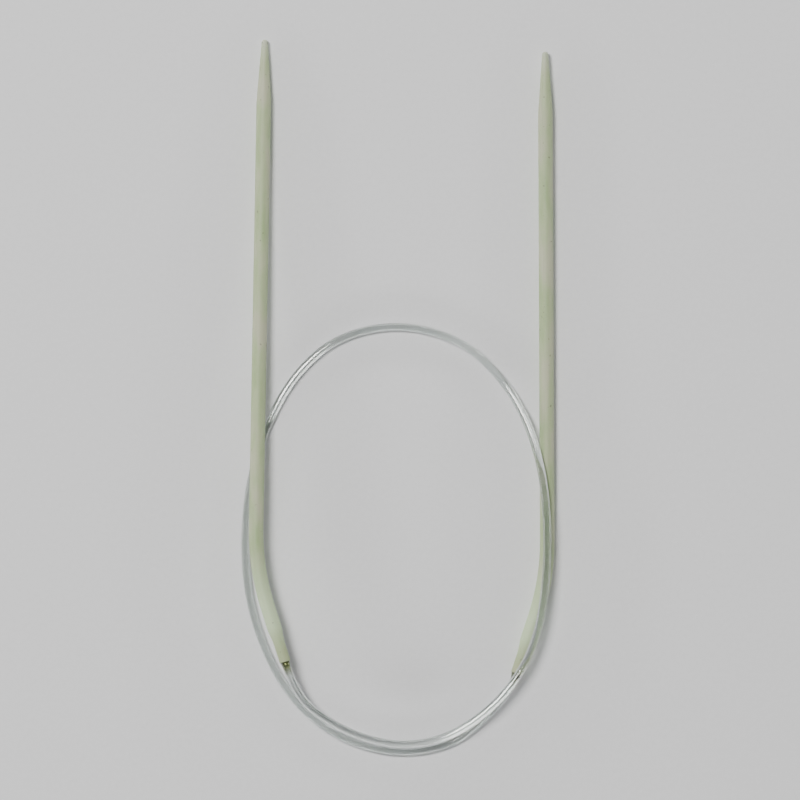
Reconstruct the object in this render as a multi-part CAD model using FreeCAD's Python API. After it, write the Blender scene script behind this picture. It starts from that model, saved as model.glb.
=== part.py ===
# Circular knitting needle: two rigid aluminium tips joined by one clear nylon cord, stored with the
# cord coiled once and both tips lying side by side.
#
# Frame: millimetres. +Z up, +Y towards the points, +X from the left tip to the right one. The origin
# is on the surface that the needle lies on, under the middle of the two tips' common box.
import FreeCAD
import Part
import math
import os

from FreeCAD import Placement, Rotation, Vector

# ---- driving dimensions -----------------------------------------------------------------------
NEEDLE_DIAMETER = 3.25      # the needle's knitting size
TIP_LENGTH = 139.0          # along the tip's axis, exit face to point
CORD_DIAMETER = 1.8

# point: a slim cone with a rounded end, blended into the shank
POINT_RADIUS = 0.72         # of the rounded end
CONE_HALF_ANGLE = 4.0       # degrees
CONE_BLEND_RADIUS = 40.0

# heel: the straight end that holds the cord, and the bend between it and the shank
HEEL_LENGTH = 13.0
BEND_ANGLE = 18.6           # degrees
BEND_RADIUS = 54.0          # of the tip's axis
NECK_DIAMETER = 2.5         # swaged down round the cord
NECK_LENGTH = 4.0
SWAGE_LENGTH = 4.5          # from the neck back up to full diameter
MOUTH_ROUNDING = 0.08       # on the neck's outer edge

# socket: drilled into the neck, with the cord's end glued in it
ADHESIVE_FILM = 0.05
SOCKET_DEPTH = 10.0
DRILL_POINT_ANGLE = 118.0   # degrees
CORD_SEATED_LENGTH = 9.5
COLLAR_LENGTH = 1.2         # of the adhesive that stands out of the socket, round the cord
COLLAR_EDGE = 0.03          # its thickness where it runs out on the cord
COLLAR_HOLLOW = 0.05        # how deep its outer face curves in

# where each tip lies: its exit face's centre, and the heading of its heel, anticlockwise from +Y
LEFT_EXIT = (-25.7, -67.3)
LEFT_HEADING = 17.6         # degrees
LEFT_TILT = 1.9             # degrees, point down: the cord passes under this shank
RIGHT_EXIT = (25.6, -70.0)
RIGHT_HEADING = -18.36      # degrees
RIGHT_TILT = 0.0            # flat on the surface

# cord: its first and last runs leave the two collars straight
FIRST_RUN = 5.2
LAST_RUN = 4.2
ARC_SHARE = 0.45            # of the shorter run, taken by each arc
LEFT_FLEX_RUN = 3           # the stretch that flexes beside the left tip ends half way along this run,
BOTTOM_FLEX_RUN = 7         # and the stretch that flexes after it half way along this one
RIGHT_FLEX_RUN = 4          # the stretch beside the right tip, counted back from its exit
FLOOR_Z = CORD_DIAMETER / 2

NEEDLE_RADIUS = NEEDLE_DIAMETER / 2
CORD_RADIUS = CORD_DIAMETER / 2
NECK_RADIUS = NECK_DIAMETER / 2
SOCKET_RADIUS = CORD_RADIUS + ADHESIVE_FILM
BEND_LENGTH = BEND_RADIUS * math.radians(BEND_ANGLE)
SHANK_LENGTH = TIP_LENGTH - HEEL_LENGTH - BEND_LENGTH

X_AXIS = Vector(1, 0, 0)
Y_AXIS = Vector(0, 1, 0)
Z_AXIS = Vector(0, 0, 1)


# ---- small helpers ----------------------------------------------------------------------------
def on_circle(centre_r, centre_y, radius, degrees):
    """A point of a profile: the angle is measured from the outward radial direction."""
    angle = math.radians(degrees)
    return Vector(centre_r + radius * math.cos(angle), centre_y + radius * math.sin(angle), 0)


def profile_arc(centre_r, centre_y, radius, from_degrees, to_degrees):
    start, middle, end = (
        on_circle(centre_r, centre_y, radius, a)
        for a in (from_degrees, (from_degrees + to_degrees) / 2, to_degrees)
    )
    return Part.Arc(start, middle, end)


def turned(curves):
    """The solid that a closed profile makes when it is turned about the Y axis."""
    wire = Part.Wire([curve.toShape() for curve in curves])
    return Part.Face(wire).revolve(Vector(), Y_AXIS, 360)


def line(x1, y1, x2, y2):
    return Part.LineSegment(Vector(x1, y1, 0), Vector(x2, y2, 0))


# ---- one tip, in its own frame: exit face's centre at the origin, +Y along the heel -------------
def heel():
    """Neck, swage and the straight length up to the bend."""
    swage_start = NECK_LENGTH
    swage_end = NECK_LENGTH + SWAGE_LENGTH
    step = NEEDLE_RADIUS - NECK_RADIUS
    swage_radius = (SWAGE_LENGTH ** 2 + step ** 2) / (4 * step)
    half_turn = math.degrees(math.asin(SWAGE_LENGTH / 2 / swage_radius))
    rim = NECK_RADIUS - MOUTH_ROUNDING
    return turned([
        line(0, 0, rim, 0),
        profile_arc(rim, MOUTH_ROUNDING, MOUTH_ROUNDING, -90, 0),
        line(NECK_RADIUS, MOUTH_ROUNDING, NECK_RADIUS, swage_start),
        profile_arc(NECK_RADIUS + swage_radius, swage_start, swage_radius, 180, 180 - half_turn),
        profile_arc(NEEDLE_RADIUS - swage_radius, swage_end, swage_radius, -half_turn, 0),
        line(NEEDLE_RADIUS, swage_end, NEEDLE_RADIUS, HEEL_LENGTH),
        line(NEEDLE_RADIUS, HEEL_LENGTH, 0, HEEL_LENGTH),
        line(0, HEEL_LENGTH, 0, 0),
    ])


def shank():
    """The straight length from the bend to the point, with its bend end at the origin."""
    slope = math.radians(CONE_HALF_ANGLE)
    dome_y = SHANK_LENGTH - POINT_RADIUS
    dome_edge = on_circle(0, dome_y, POINT_RADIUS, CONE_HALF_ANGLE)
    blend_r = NEEDLE_RADIUS - CONE_BLEND_RADIUS
    blend_edge_r = blend_r + CONE_BLEND_RADIUS * math.cos(slope)
    blend_edge_y = dome_edge.y - (blend_edge_r - dome_edge.x) / math.tan(slope)
    blend_y = blend_edge_y - CONE_BLEND_RADIUS * math.sin(slope)
    return turned([
        line(0, 0, NEEDLE_RADIUS, 0),
        line(NEEDLE_RADIUS, 0, NEEDLE_RADIUS, blend_y),
        profile_arc(blend_r, blend_y, CONE_BLEND_RADIUS, 0, CONE_HALF_ANGLE),
        line(blend_edge_r, blend_edge_y, dome_edge.x, dome_edge.y),
        profile_arc(0, dome_y, POINT_RADIUS, CONE_HALF_ANGLE, 90),
        line(0, SHANK_LENGTH, 0, 0),
    ])


def bend(side):
    """The bent length: the shank turns towards +X for side 1, and towards -X for side -1."""
    section = Part.Face(Part.Wire(Part.Circle(Vector(0, HEEL_LENGTH, 0), Y_AXIS, NEEDLE_RADIUS).toShape()))
    return section.revolve(Vector(side * BEND_RADIUS, HEEL_LENGTH, 0), Vector(0, 0, -side), BEND_ANGLE)


def bend_end(side):
    """The placement of the shank's bend end."""
    angle = math.radians(BEND_ANGLE)
    across = side * BEND_RADIUS * (1 - math.cos(angle))
    along = HEEL_LENGTH + BEND_RADIUS * math.sin(angle)
    return Placement(Vector(across, along, 0), Rotation(Z_AXIS, -side * BEND_ANGLE))


def socket():
    """The drilled hole, with the cone that the drill leaves."""
    cone_length = SOCKET_RADIUS / math.tan(math.radians(DRILL_POINT_ANGLE / 2))
    return turned([
        line(0, 0, SOCKET_RADIUS, 0),
        line(SOCKET_RADIUS, 0, SOCKET_RADIUS, SOCKET_DEPTH),
        line(SOCKET_RADIUS, SOCKET_DEPTH, 0, SOCKET_DEPTH + cone_length),
        line(0, SOCKET_DEPTH + cone_length, 0, 0),
    ])


def cord_end():
    """The length of cord that the adhesive holds: in the socket, and in the collar before it."""
    length = COLLAR_LENGTH + CORD_SEATED_LENGTH
    return Part.makeCylinder(CORD_RADIUS, length, Vector(0, -COLLAR_LENGTH, 0), Y_AXIS)


def collar():
    """The adhesive outside the socket: it runs down from the neck's width to the cord in a hollow curve."""
    neck_edge = Vector(NECK_RADIUS - MOUTH_ROUNDING, 0, 0)
    cord_edge = Vector(CORD_RADIUS + COLLAR_EDGE, -COLLAR_LENGTH, 0)
    middle = (neck_edge + cord_edge) / 2 - Vector(COLLAR_HOLLOW, 0, 0)
    return turned([
        line(0, -COLLAR_LENGTH, cord_edge.x, -COLLAR_LENGTH),
        Part.Arc(cord_edge, middle, neck_edge),
        line(neck_edge.x, 0, 0, 0),
        line(0, 0, 0, -COLLAR_LENGTH),
    ])


def adhesive():
    """The film round the cord's end, the drop that fills the socket's bottom, and the collar."""
    return socket().fuse(collar()).cut(cord_end())


def tip(side):
    straight = shank()
    straight.Placement = bend_end(side)
    return heel().fuse([bend(side), straight]).removeSplitter().cut(socket())


def laid(side, exit_xy, heading, tilt):
    """The placement that lays a tip down: turned to its heading, tilted, and resting on the surface."""
    rotation = Rotation(X_AXIS, -tilt) * Rotation(Z_AXIS, heading)
    trial = tip(side)
    trial.Placement = Placement(Vector(), rotation)
    rest_height = -trial.optimalBoundingBox(False).ZMin
    return Placement(Vector(exit_xy[0], exit_xy[1], rest_height), rotation)


# ---- the cord ---------------------------------------------------------------------------------
def cord_route(left_placement, right_placement):
    """From the left collar to the right one.

    The cord comes down from the left tip and runs along the inner side of its own last stretch,
    passes over that stretch and over the right tip, comes down on that tip's inner side, goes round
    the coil's far end and under the left shank, and comes back along the outer side.
    """
    collar_end = Vector(0, -COLLAR_LENGTH, 0)
    return [
        left_placement.multVec(collar_end),
        left_placement.multVec(collar_end - Vector(0, FIRST_RUN, 0)),
        Vector(-19.6, -78.8, 5.1),
        Vector(-9.4, -84.4, 3.6),
        Vector(0.7, -86.3, 3.1),
        Vector(10.7, -84.2, 3.4),
        Vector(19.0, -78.8, 4.5),
        Vector(25.0, -72.2, 6.2),
        Vector(29.3, -64.4, 7.2),
        Vector(31.6, -55.0, 7.3),
        Vector(32.5, -44.2, 7.2),
        Vector(32.3, -33.5, 7.2),
        Vector(31.0, -23.6, 6.9),
        Vector(28.1, -14.2, 5.1),
        Vector(22.8, -4.8, 2.3),
        Vector(13.6, 4.0, FLOOR_Z),
        Vector(-0.6, 7.8, FLOOR_Z),
        Vector(-14.6, 4.6, FLOOR_Z),
        Vector(-24.2, -4.2, FLOOR_Z),
        Vector(-30.1, -15.4, FLOOR_Z),
        Vector(-33.6, -27.3, FLOOR_Z),
        Vector(-34.8, -39.4, FLOOR_Z),
        Vector(-34.2, -51.6, FLOOR_Z),
        Vector(-31.1, -63.0, FLOOR_Z),
        Vector(-25.9, -73.4, FLOOR_Z),
        Vector(-18.2, -81.6, FLOOR_Z),
        Vector(-8.8, -86.4, FLOOR_Z),
        Vector(1.8, -87.9, FLOOR_Z),
        Vector(11.4, -85.7, FLOOR_Z),
        Vector(19.0, -80.6, 1.0),
        right_placement.multVec(collar_end - Vector(0, LAST_RUN, 0)),
        right_placement.multVec(collar_end),
    ]


def corner_arc(before, corner, after):
    """The arc that rounds one corner, as large as its two runs allow, and its radius."""
    run_in = corner - before
    run_out = after - corner
    trim = ARC_SHARE * min(run_in.Length, run_out.Length)
    half_turn = run_in.getAngle(run_out) / 2
    radius = trim / math.tan(half_turn)
    way_in = Vector(run_in).normalize()
    way_out = Vector(run_out).normalize()
    inward = (way_out - way_in).normalize()
    middle = corner + inward * (radius / math.cos(half_turn) - radius)
    return Part.Arc(corner - way_in * trim, middle, corner + way_out * trim), radius


def cord_paths(route, cut_runs):
    """The route as lists of edges, cut at the middle of each run in cut_runs."""
    paths = [[]]
    cursor = route[0]
    radii = []
    for index in range(len(route) - 1):
        if index in cut_runs:
            middle = (route[index] + route[index + 1]) / 2
            paths[-1].append(Part.LineSegment(cursor, middle).toShape())
            paths.append([])
            cursor = middle
        if index == len(route) - 2:
            paths[-1].append(Part.LineSegment(cursor, route[-1]).toShape())
            break
        arc, radius = corner_arc(*route[index:index + 3])
        paths[-1].append(Part.LineSegment(cursor, arc.StartPoint).toShape())
        paths[-1].append(arc.toShape())
        cursor = arc.EndPoint
        radii.append(radius)
    print("cord radii, mm:", " ".join(f"{radius:.1f}" for radius in radii))
    return paths


def tube(path):
    """A length of cord along one path."""
    start = path[0].valueAt(path[0].FirstParameter)
    heading = path[0].tangentAt(path[0].FirstParameter)
    section = Part.Wire(Part.Circle(start, heading, CORD_RADIUS).toShape())
    wire = Part.Wire(path)
    solid = wire.makePipeShell([section], True, True)
    expected = wire.Length * math.pi * CORD_RADIUS ** 2
    print(f"cord stretch: {wire.Length:.2f} mm, volume {solid.Volume:.2f} of {expected:.2f} mm3")
    return solid


def placed(shape, placement):
    shape.Placement = placement
    return shape


# ---- the whole needle -------------------------------------------------------------------------
def build():
    left = laid(1, LEFT_EXIT, LEFT_HEADING, LEFT_TILT)
    right = laid(-1, RIGHT_EXIT, RIGHT_HEADING, RIGHT_TILT)
    route = cord_route(left, right)
    last_run = len(route) - 2
    cuts = (LEFT_FLEX_RUN, BOTTOM_FLEX_RUN, last_run - RIGHT_FLEX_RUN)
    flex_left, flex_bottom, loop, flex_right = (tube(path) for path in cord_paths(route, cuts))
    print("cord's ends and corners beside them, mm:", route[0], route[1], route[-2], route[-1])
    return {
        "tip_left": placed(tip(1), left),
        "tip_right": placed(tip(-1), right),
        "cord_end_left": placed(cord_end(), left),
        "cord_end_right": placed(cord_end(), right),
        "adhesive_left": placed(adhesive(), left),
        "adhesive_right": placed(adhesive(), right),
        "cord_flex_left": flex_left,
        "cord_flex_bottom": flex_bottom,
        "cord_loop": loop,
        "cord_flex_right": flex_right,
    }


os.makedirs("parts", exist_ok=True)
for name, solid in build().items():
    print(f"{name}: valid {solid.isValid()}, {len(solid.Solids)} solid, {solid.Volume:.2f} mm3")
    solid.exportStep(f"parts/{name}.step")
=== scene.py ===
import math

import bpy
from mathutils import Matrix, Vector


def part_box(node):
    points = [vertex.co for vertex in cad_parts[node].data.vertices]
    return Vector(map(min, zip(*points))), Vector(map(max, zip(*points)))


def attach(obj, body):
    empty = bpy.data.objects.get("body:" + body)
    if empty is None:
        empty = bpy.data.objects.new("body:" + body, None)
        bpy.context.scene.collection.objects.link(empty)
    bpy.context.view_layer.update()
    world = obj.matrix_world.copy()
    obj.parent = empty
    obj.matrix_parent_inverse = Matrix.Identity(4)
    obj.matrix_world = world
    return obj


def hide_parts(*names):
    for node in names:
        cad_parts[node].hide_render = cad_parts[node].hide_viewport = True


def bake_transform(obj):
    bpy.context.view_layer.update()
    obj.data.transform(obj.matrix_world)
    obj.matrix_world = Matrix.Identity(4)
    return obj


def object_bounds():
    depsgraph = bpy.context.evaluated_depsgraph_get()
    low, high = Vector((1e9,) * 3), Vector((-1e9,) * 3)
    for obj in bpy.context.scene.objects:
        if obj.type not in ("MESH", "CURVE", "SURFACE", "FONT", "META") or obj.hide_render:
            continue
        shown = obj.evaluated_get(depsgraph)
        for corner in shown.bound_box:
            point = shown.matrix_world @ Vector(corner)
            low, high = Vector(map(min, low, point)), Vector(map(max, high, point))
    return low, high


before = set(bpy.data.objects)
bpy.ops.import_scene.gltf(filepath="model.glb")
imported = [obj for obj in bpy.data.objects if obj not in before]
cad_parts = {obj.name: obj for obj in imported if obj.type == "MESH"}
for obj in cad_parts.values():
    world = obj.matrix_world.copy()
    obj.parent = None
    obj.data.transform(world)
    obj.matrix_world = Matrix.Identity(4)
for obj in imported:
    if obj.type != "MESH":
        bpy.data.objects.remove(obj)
cad_low, cad_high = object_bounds()

MM = 0.001

# ---- camera and stage -------------------------------------------------------------------------------
VIEW_WIDTH = 177.8 * MM     # of the floor that the camera takes in
LENS = 400.0                # long, so that the view is nearly parallel
SENSOR = 36.0
FRAMING = Vector((0.48, -0.47, 0)) * MM     # from the needle's middle to where the camera stands
FLOOR_SIZE = 3.0
FLOOR_COLOUR = (0.85, 0.86, 0.88)
FLOOR_GRAIN = 0.97          # the share of the floor's colour that its paper grain darkens to

# ---- lights -----------------------------------------------------------------------------------------
WHITE = (1.0, 1.0, 1.0)
WARM_WHITE = (1.0, 0.98, 0.95)
HORIZON = (0.80, 0.82, 0.85)
KEY_PLACE = (-0.60, 0.46, 1.65)
KEY_SIZE = (0.35, 0.7)
KEY_POWER = 32.0            # watts
DOME_STRENGTH = 0.12
STRIP_DISTANCE = 1.5        # of the four low strips from the needle
STRIP_HEIGHT = 0.32
STRIP_SIZE = (2.6, 0.12)
STRIP_POWERS = (5.0, 12.0, 8.0, 12.0)       # right, far, left, near

# ---- cord -------------------------------------------------------------------------------------------
CORD_DIAMETER = 1.8 * MM
CORD_RADIUS = CORD_DIAMETER / 2
SOCKETED_LENGTH = 9.5 * MM  # of each cord end, inside its tip
COLLAR_LENGTH = 1.2 * MM    # and in the collar of adhesive at the socket's mouth
SEATED_LENGTH = SOCKETED_LENGTH + COLLAR_LENGTH
RING_POINTS = 32
SPLINE_RESOLUTION = 24

# From the left collar to the right one. The cord passes over the right tip from its neck to its bend.
ROUTE_MM = [
    (-25.3372, -68.4432, 5.7649),
    (-24.007, -72.638, 5.900),
    (-19.7, -78.4, 5.1),
    (-9.8, -84.1, 3.5),
    (0.7, -86.3, 3.05),
    (10.7, -84.2, 3.2),
    (19.0, -78.6, 3.9),
    (25.0, -72.2, 4.2),
    (29.3, -64.4, 4.25),
    (31.6, -55.0, 4.25),
    (32.5, -44.2, 4.25),
    (32.3, -33.5, 4.25),
    (31.0, -23.6, 4.25),
    (28.1, -14.2, 3.2),
    (22.8, -4.8, 1.3),
    (13.6, 4.0, 0.9),
    (-0.6, 7.8, 0.9),
    (-14.6, 4.6, 0.9),
    (-24.2, -4.2, 0.9),
    (-30.1, -15.4, 0.9),
    (-33.6, -27.3, 0.9),
    (-34.8, -39.4, 0.9),
    (-34.2, -51.6, 0.9),
    (-31.1, -63.0, 0.9),
    (-25.9, -73.4, 0.9),
    (-18.2, -81.6, 0.9),
    (-8.8, -86.4, 0.9),
    (1.8, -87.9, 0.9),
    (11.4, -85.7, 0.9),
    (18.2, -80.7, 1.0),
    (24.466, -73.416, 1.625),
    (25.2220, -71.1389, 1.625),
]

# the stretches in that order, each with the CAD nodes that it replaces
STRETCHES = [
    ("cord_beside_left_tip", ("cord_flex_left", "cord_end_left")),
    ("cord_along_bottom", ("cord_flex_bottom",)),
    ("cord_coil", ("cord_loop",)),
    ("cord_beside_right_tip", ("cord_flex_right", "cord_end_right")),
]

# where they meet, near these points
LEFT_CUT = Vector((-4.3, -85.3, 3.2)) * MM
BOTTOM_CUT = Vector((27.1, -68.4, 4.2)) * MM
RIGHT_CUT = Vector((-3.6, -87.1, 0.9)) * MM

# ---- materials --------------------------------------------------------------------------------------
# enamel: the clouds' colours by their noise, and what each detail turns them to
CLOUD_COLOURS = [
    (0.36, (0.325, 0.443, 0.205)),
    (0.50, (0.400, 0.491, 0.270)),
    (0.64, (0.485, 0.501, 0.350)),
]
DRAW_MARK_COLOUR = (0.310, 0.355, 0.230)
GRAIN_COLOUR = (0.500, 0.545, 0.380)
# painted highlight round each tip's heel: the pale colour that it turns the enamel to
HEEL_HIGHLIGHT_COLOUR = (0.555, 0.685, 0.440)
NECK_COLOUR = (0.330, 0.345, 0.190)
# painted highlight at each tip's point: the pale colour that it turns the enamel to
POINT_HIGHLIGHT_COLOUR = (0.620, 0.630, 0.570)
SPECK_COLOUR = (0.150, 0.155, 0.110)
NECK_MARKED = 4 * MM                # of the neck's end, dulled by the swaging, and as much again to fade
HEEL_HIGHLIGHT_RISES = (2.5 * MM, 8 * MM)     # above the neck's end, over which a painted highlight turns the enamel paler
HEEL_HIGHLIGHT_FADES = (13 * MM, 25 * MM)     # and over which the painted highlight fades out
# of the point, over which the painted highlight rises to full
POINT_HIGHLIGHT_LENGTH = 5 * MM

# nylon and adhesive
NYLON_COLOURS = [
    (0.30, (0.77, 0.82, 0.79)),
    (0.70, (0.90, 0.94, 0.93)),
]
OLIVE = (0.27, 0.31, 0.10)
OLIVE_LENGTH = 2.2 * MM             # of cord beside each collar that looks olive, before it clears
ADHESIVE_COLOURS = [
    (0.30, (0.20, 0.23, 0.07)),
    (0.60, (0.34, 0.38, 0.16)),
    (0.80, (0.52, 0.56, 0.34)),
]
CLEARED_COLLAR = (0.74, 0.78, 0.58)


# ---- camera -----------------------------------------------------------------------------------------
def make_camera():
    """Straight above the needle, looking down."""
    data = bpy.data.cameras.new("camera")
    data.lens = LENS
    data.sensor_width = SENSOR
    camera = bpy.data.objects.new("camera", data)
    bpy.context.scene.collection.objects.link(camera)
    centre = (cad_low + cad_high) / 2
    distance = VIEW_WIDTH * LENS / SENSOR
    camera.location = Vector((centre.x, centre.y, distance)) + FRAMING
    data.clip_end = 2 * distance
    bpy.context.scene.camera = camera


# ---- cord -------------------------------------------------------------------------------------------
def cord_line():
    """The points that Blender gives for the cord's NURBS spline."""
    curve = bpy.data.curves.new("cord_route", "CURVE")
    curve.dimensions = "3D"
    curve.resolution_u = SPLINE_RESOLUTION
    spline = curve.splines.new("NURBS")
    spline.points.add(len(ROUTE_MM) - 1)
    for point, place in zip(spline.points, ROUTE_MM):
        point.co = (*(Vector(place) * MM), 1)
    spline.order_u = 3
    spline.use_endpoint_u = True
    holder = bpy.data.objects.new("cord_route", curve)
    mesh = bpy.data.meshes.new_from_object(holder)
    points = [vertex.co.copy() for vertex in mesh.vertices]
    bpy.data.objects.remove(holder)
    bpy.data.curves.remove(curve)
    bpy.data.meshes.remove(mesh)
    return points


def seated_point(end, beside):
    """The cord's end in the socket, in line with the way that it comes out."""
    return end + (end - beside).normalized() * SEATED_LENGTH


def lengths_along(points, start=0.0):
    """The length along the path at each point."""
    lengths = [start]
    for a, b in zip(points, points[1:]):
        lengths.append(lengths[-1] + (b - a).length)
    return lengths


def ring_frames(points):
    """A direction along the path and one across it at each point.

    The direction across turns as little as possible from one point to the next, so the tube isn't twisted.
    """
    ways = []
    for index in range(len(points)):
        before = points[max(index - 1, 0)]
        after = points[min(index + 1, len(points) - 1)]
        ways.append((after - before).normalized())
    side = ways[0].orthogonal().normalized()
    frames = []
    for way in ways:
        side = (side - way * side.dot(way)).normalized()
        frames.append((way, side))
    return frames


def ring_vertices(points, frames):
    vertices = []
    for place, (way, side) in zip(points, frames):
        other = way.cross(side)
        for step in range(RING_POINTS):
            angle = 2 * math.pi * step / RING_POINTS
            vertices.append(place + (side * math.cos(angle) + other * math.sin(angle)) * CORD_RADIUS)
    return vertices


def side_faces(lengths):
    """The tube's side, each face with its corners' places in the UV map."""
    faces = []
    for ring in range(len(lengths) - 1):
        low = ring * RING_POINTS
        high = low + RING_POINTS
        u1, u2 = lengths[ring], lengths[ring + 1]
        for step in range(RING_POINTS):
            after = (step + 1) % RING_POINTS
            v1, v2 = step / RING_POINTS, (step + 1) / RING_POINTS
            corners = (low + step, low + after, high + after, high + step)
            faces.append((corners, ((u1, v1), (u1, v2), (u2, v2), (u2, v1))))
    return faces


def end_face(corners, length):
    """The flat face over a ring, with its corners' places in the UV map."""
    return tuple(corners), tuple((length, index % RING_POINTS / RING_POINTS) for index in corners)


def make_tube(name, points, frames, start_length, closed_start, closed_end):
    """A round tube along the points.

    Its UV map holds the length along the cord and the share of the way round it.
    """
    lengths = lengths_along(points, start_length)
    faces = side_faces(lengths)
    if closed_start:
        faces.append(end_face(range(RING_POINTS - 1, -1, -1), lengths[0]))
    if closed_end:
        first = (len(points) - 1) * RING_POINTS
        faces.append(end_face(range(first, first + RING_POINTS), lengths[-1]))
    mesh = bpy.data.meshes.new(name)
    mesh.from_pydata(ring_vertices(points, frames), [], [corners for corners, _ in faces])
    layer = mesh.uv_layers.new(name="along_cord")
    places = [uv for _, uvs in faces for uv in uvs]
    for corner, uv in zip(layer.data, places):
        corner.uv = uv
    for polygon in mesh.polygons:
        polygon.use_smooth = len(polygon.vertices) == 4
    piece = bpy.data.objects.new(name, mesh)
    bpy.context.scene.collection.objects.link(piece)
    return piece


def nearest_index(points, place):
    return min(range(len(points)), key=lambda i: (points[i] - place).length)


def cut_indices(points):
    """Where the stretches begin and end.

    Two strands lie side by side along the bottom, so each cut is looked for in its own half of the cord.
    """
    half = len(points) // 2
    left_cut = nearest_index(points[:half], LEFT_CUT)
    bottom_cut = nearest_index(points[:half], BOTTOM_CUT)
    right_cut = half + nearest_index(points[half:], RIGHT_CUT)
    return [0, left_cut, bottom_cut, right_cut, len(points) - 1]


def make_cord():
    """The cord's four stretches, with rings that coincide where they meet, and the cord's whole length."""
    free = cord_line()
    start = seated_point(free[0], free[1])
    end = seated_point(free[-1], free[-2])
    points = [start] + free + [end]
    frames = ring_frames(points)
    lengths = lengths_along(points)
    material = nylon(lengths[-1])
    cuts = cut_indices(points)
    pieces = []
    for (name, replaced), first, last in zip(STRETCHES, cuts, cuts[1:]):
        stretch = points[first:last + 1]
        piece = make_tube(
            name, stretch, frames[first:last + 1], lengths[first],
            closed_start=first == 0, closed_end=last == len(points) - 1,
        )
        piece.data.materials.append(material)
        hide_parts(*replaced)
        pieces.append((piece, stretch))
    (left, left_path), (bottom, bottom_path), (coil, coil_path), (right, right_path) = pieces
    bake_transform(left)
    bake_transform(bottom)
    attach(coil, "cord")
    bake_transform(right)
    return lengths[-1]


# ---- materials --------------------------------------------------------------------------------------
class Nodes:
    """A node tree of a material or of the world, with short calls for the nodes that they share."""

    def __init__(self, block, shader="Principled BSDF"):
        block.use_nodes = True
        self.tree = block.node_tree
        self.shader = self.tree.nodes[shader]

    def add(self, kind, **values):
        node = self.tree.nodes.new(kind)
        for key, value in values.items():
            setattr(node, key, value)
        return node

    def link(self, source, target):
        """Links to a node's socket, or to the shader's socket of that name."""
        if isinstance(target, str):
            target = self.shader.inputs[target]
        self.tree.links.new(source, target)

    def coordinates(self, output):
        return self.add("ShaderNodeTexCoord").outputs[output]

    def part(self, vector, axis):
        """One of a vector's X, Y and Z."""
        node = self.add("ShaderNodeSeparateXYZ")
        self.link(vector, node.inputs[0])
        return node.outputs[axis]

    def stretched(self, vector, scale):
        node = self.add("ShaderNodeMapping")
        node.inputs["Scale"].default_value = scale
        self.link(vector, node.inputs["Vector"])
        return node.outputs["Vector"]

    def noise(self, vector, scale, detail=2.0, roughness=0.5):
        node = self.add("ShaderNodeTexNoise")
        node.inputs["Scale"].default_value = scale
        node.inputs["Detail"].default_value = detail
        node.inputs["Roughness"].default_value = roughness
        self.link(vector, node.inputs["Vector"])
        return node.outputs["Fac"]

    def ramp(self, value, stops):
        """A colour ramp with (position, colour) stops."""
        node = self.add("ShaderNodeValToRGB")
        elements = node.color_ramp.elements
        while len(elements) < len(stops):
            elements.new(0.5)
        for element, (position, colour) in zip(elements, stops):
            element.position = position
            element.color = (*colour, 1)
        self.link(value, node.inputs["Fac"])
        return node.outputs["Color"]

    def span(self, value, low, high, to_low, to_high):
        """The value mapped from one range to another, and kept within it."""
        node = self.add("ShaderNodeMapRange")
        node.inputs["From Min"].default_value = low
        node.inputs["From Max"].default_value = high
        node.inputs["To Min"].default_value = to_low
        node.inputs["To Max"].default_value = to_high
        self.link(value, node.inputs["Value"])
        return node.outputs["Result"]

    def math(self, operation, first, second):
        node = self.add("ShaderNodeMath", operation=operation)
        self.link(first, node.inputs[0])
        self.link(second, node.inputs[1])
        return node.outputs[0]

    def mix(self, factor, first, second):
        """The first colour, turning to the second as the factor rises."""
        node = self.add("ShaderNodeMix", data_type="RGBA")
        self.link(factor, node.inputs[0])
        self.link(first, node.inputs[6])
        node.inputs[7].default_value = (*second, 1)
        return node.outputs[2]

    def bump(self, height, strength, distance, normal=None):
        node = self.add("ShaderNodeBump")
        node.inputs["Strength"].default_value = strength
        node.inputs["Distance"].default_value = distance
        self.link(height, node.inputs["Height"])
        if normal is not None:
            self.link(normal, node.inputs["Normal"])
        return node.outputs["Normal"]

    def set(self, **values):
        """Constants on the shader's own sockets; an underscore stands for a space."""
        for key, value in values.items():
            self.shader.inputs[key.replace("_", " ")].default_value = value


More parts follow.
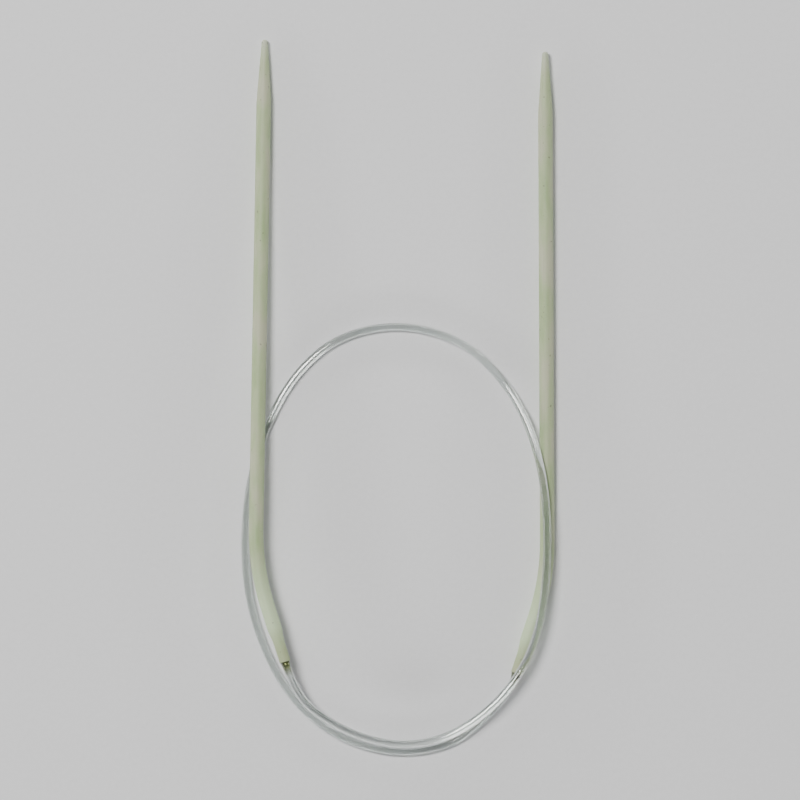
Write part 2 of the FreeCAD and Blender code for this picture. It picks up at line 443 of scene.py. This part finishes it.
def enamel(node):
    """Satin grey-green enamel: faint clouds, long draw marks, fine grain and a few dark specks.

    It has a painted highlight at the point, broken up by the grain, a paler painted highlight round the
    heel, and is dulled by the swaging at the neck.
    """
    low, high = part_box(node)
    material = bpy.data.materials.new(f"enamel_{node}")
    n = Nodes(material)
    place = n.coordinates("Object")
    height = n.part(place, "Y")
    clouds = n.noise(n.stretched(place, (1, 0.3, 1)), scale=260, detail=3)
    draw_marks = n.noise(n.stretched(place, (1, 0.02, 1)), scale=2600)
    grain = n.noise(place, scale=3200, detail=4, roughness=0.7)
    specks = n.noise(place, scale=900, detail=1)
    colour = n.ramp(clouds, CLOUD_COLOURS)
    colour = n.mix(n.span(draw_marks, 0.35, 0.7, 0.0, 0.25), colour, DRAW_MARK_COLOUR)
    colour = n.mix(n.span(grain, 0.35, 0.75, 0.0, 0.25), colour, GRAIN_COLOUR)
    # painted highlight round the heel: the enamel is painted paler above the neck's end, and back again
    # further up
    heel_highlight_rising = n.span(height, low.y + HEEL_HIGHLIGHT_RISES[0], low.y + HEEL_HIGHLIGHT_RISES[1], 0.0, 0.9)
    heel_highlight_fading = n.span(height, low.y + HEEL_HIGHLIGHT_FADES[0], low.y + HEEL_HIGHLIGHT_FADES[1], 1.0, 0.0)
    colour = n.mix(n.math("MULTIPLY", heel_highlight_rising, heel_highlight_fading), colour, HEEL_HIGHLIGHT_COLOUR)
    neck = n.span(height, low.y + NECK_MARKED, low.y + 2 * NECK_MARKED, 0.55, 0.0)
    colour = n.mix(n.math("MULTIPLY", neck, clouds), colour, NECK_COLOUR)
    # painted highlight at the point, broken up by the grain
    point_highlight = n.span(height, high.y - POINT_HIGHLIGHT_LENGTH, high.y, 0.0, 1.0)
    colour = n.mix(n.math("MULTIPLY", point_highlight, grain), colour, POINT_HIGHLIGHT_COLOUR)
    colour = n.mix(n.span(specks, 0.735, 0.765, 0.0, 0.6), colour, SPECK_COLOUR)
    n.link(colour, "Base Color")
    n.link(n.span(clouds, 0.3, 0.7, 0.52, 0.64), "Roughness")
    peel = n.bump(n.noise(place, scale=1500), strength=0.25, distance=0.02 * MM)
    n.link(n.bump(draw_marks, strength=0.12, distance=0.01 * MM, normal=peel), "Normal")
    n.set(IOR=1.5, Specular_IOR_Level=0.45, Coat_Weight=0.12, Coat_Roughness=0.38)
    return material


def nylon(total_length):
    """Clear, slightly milky nylon: faint haze, die lines along it, and olive beside the collars."""
    material = bpy.data.materials.new("nylon")
    n = Nodes(material)
    along_cord = n.add("ShaderNodeUVMap", uv_map="along_cord").outputs["UV"]
    length = n.part(along_cord, "X")
    die_lines = n.noise(n.stretched(along_cord, (20, 9, 1)), scale=1.0)
    haze = n.noise(n.coordinates("Object"), scale=500, detail=4, roughness=0.6)
    left = n.span(length, SEATED_LENGTH, SEATED_LENGTH + OLIVE_LENGTH, 1.0, 0.0)
    right_end = total_length - SEATED_LENGTH
    right = n.span(length, right_end - OLIVE_LENGTH, right_end, 0.0, 1.0)
    colour = n.mix(n.math("MAXIMUM", left, right), n.ramp(haze, NYLON_COLOURS), OLIVE)
    n.link(colour, "Base Color")
    n.link(n.span(haze, 0.3, 0.75, 0.02, 0.10), "Roughness")
    n.link(n.bump(die_lines, strength=0.25, distance=0.02 * MM), "Normal")
    n.set(IOR=1.53, Transmission_Weight=0.94, Specular_IOR_Level=0.8)
    n.set(Coat_Weight=1.0, Coat_IOR=1.8, Coat_Roughness=0.05)
    return material


def adhesive(node):
    """Cured clear adhesive: olive and glossy, with small bubbles.

    It is dark at the neck and clears down the collar.
    """
    low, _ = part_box(node)
    material = bpy.data.materials.new(f"adhesive_{node}")
    n = Nodes(material)
    place = n.coordinates("Object")
    bubbles = n.noise(place, scale=1800)
    clearing = n.span(n.part(place, "Y"), low.y, low.y + COLLAR_LENGTH, 0.55, 0.0)
    n.link(n.mix(clearing, n.ramp(bubbles, ADHESIVE_COLOURS), CLEARED_COLLAR), "Base Color")
    n.link(n.span(bubbles, 0.3, 0.7, 0.05, 0.15), "Roughness")
    n.link(n.bump(bubbles, strength=0.3, distance=0.03 * MM), "Normal")
    n.set(IOR=1.5, Transmission_Weight=0.9, Coat_Weight=1.0, Coat_Roughness=0.05)
    return material


def floor_paper():
    material = bpy.data.materials.new("floor")
    n = Nodes(material)
    grain = n.noise(n.coordinates("Object"), scale=900, detail=3)
    darker = tuple(FLOOR_GRAIN * part for part in FLOOR_COLOUR)
    n.link(n.ramp(grain, [(0.3, darker), (0.7, FLOOR_COLOUR)]), "Base Color")
    n.set(Roughness=0.85, Specular_IOR_Level=0.2)
    return material


def dress(name, material):
    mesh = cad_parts[name].data
    mesh.materials.clear()
    mesh.materials.append(material)


# ---- stage ------------------------------------------------------------------------------------------
def make_floor():
    half = FLOOR_SIZE / 2
    corners = [(-half, -half, 0), (half, -half, 0), (half, half, 0), (-half, half, 0)]
    mesh = bpy.data.meshes.new("floor")
    mesh.from_pydata(corners, [], [(0, 1, 2, 3)])
    mesh.materials.append(floor_paper())
    floor = bpy.data.objects.new("floor", mesh)
    bpy.context.scene.collection.objects.link(floor)


def soft_box(name, place, size, power, colour):
    """A soft light that faces the needle's middle."""
    data = bpy.data.lights.new(name, "AREA")
    data.shape = "RECTANGLE"
    data.size, data.size_y = size
    data.energy = power
    data.color = colour
    lamp = bpy.data.objects.new(name, data)
    bpy.context.scene.collection.objects.link(lamp)
    lamp.location = place
    middle = (cad_low + cad_high) / 2
    lamp.rotation_mode = "QUATERNION"
    lamp.rotation_quaternion = (middle - Vector(place)).to_track_quat("-Z", "Y")


def make_dome():
    """The room's light: brightest overhead, and a little dimmer towards the horizon."""
    world = bpy.data.worlds.new("dome")
    n = Nodes(world, "Background")
    up = n.part(n.coordinates("Generated"), "Z")
    n.link(n.ramp(up, [(0.0, HORIZON), (0.6, WHITE)]), "Color")
    n.set(Strength=DOME_STRENGTH)
    bpy.context.scene.world = world


def make_lights():
    """A key light from the upper left, and four low strips that draw bright lines along the clear cord."""
    soft_box("key", KEY_PLACE, KEY_SIZE, KEY_POWER, WARM_WHITE)
    for side, power in enumerate(STRIP_POWERS):
        angle = side * math.pi / 2
        place = (STRIP_DISTANCE * math.cos(angle), STRIP_DISTANCE * math.sin(angle), STRIP_HEIGHT)
        soft_box(f"strip_{side}", place, STRIP_SIZE, power, WHITE)
    make_dome()


make_camera()
cord_length = make_cord()
dress("tip_left", enamel("tip_left"))
dress("tip_right", enamel("tip_right"))
dress("adhesive_left", adhesive("adhesive_left"))
dress("adhesive_right", adhesive("adhesive_right"))
make_floor()
make_lights()
print(f"cord, end to end: {cord_length / MM:.1f} mm")
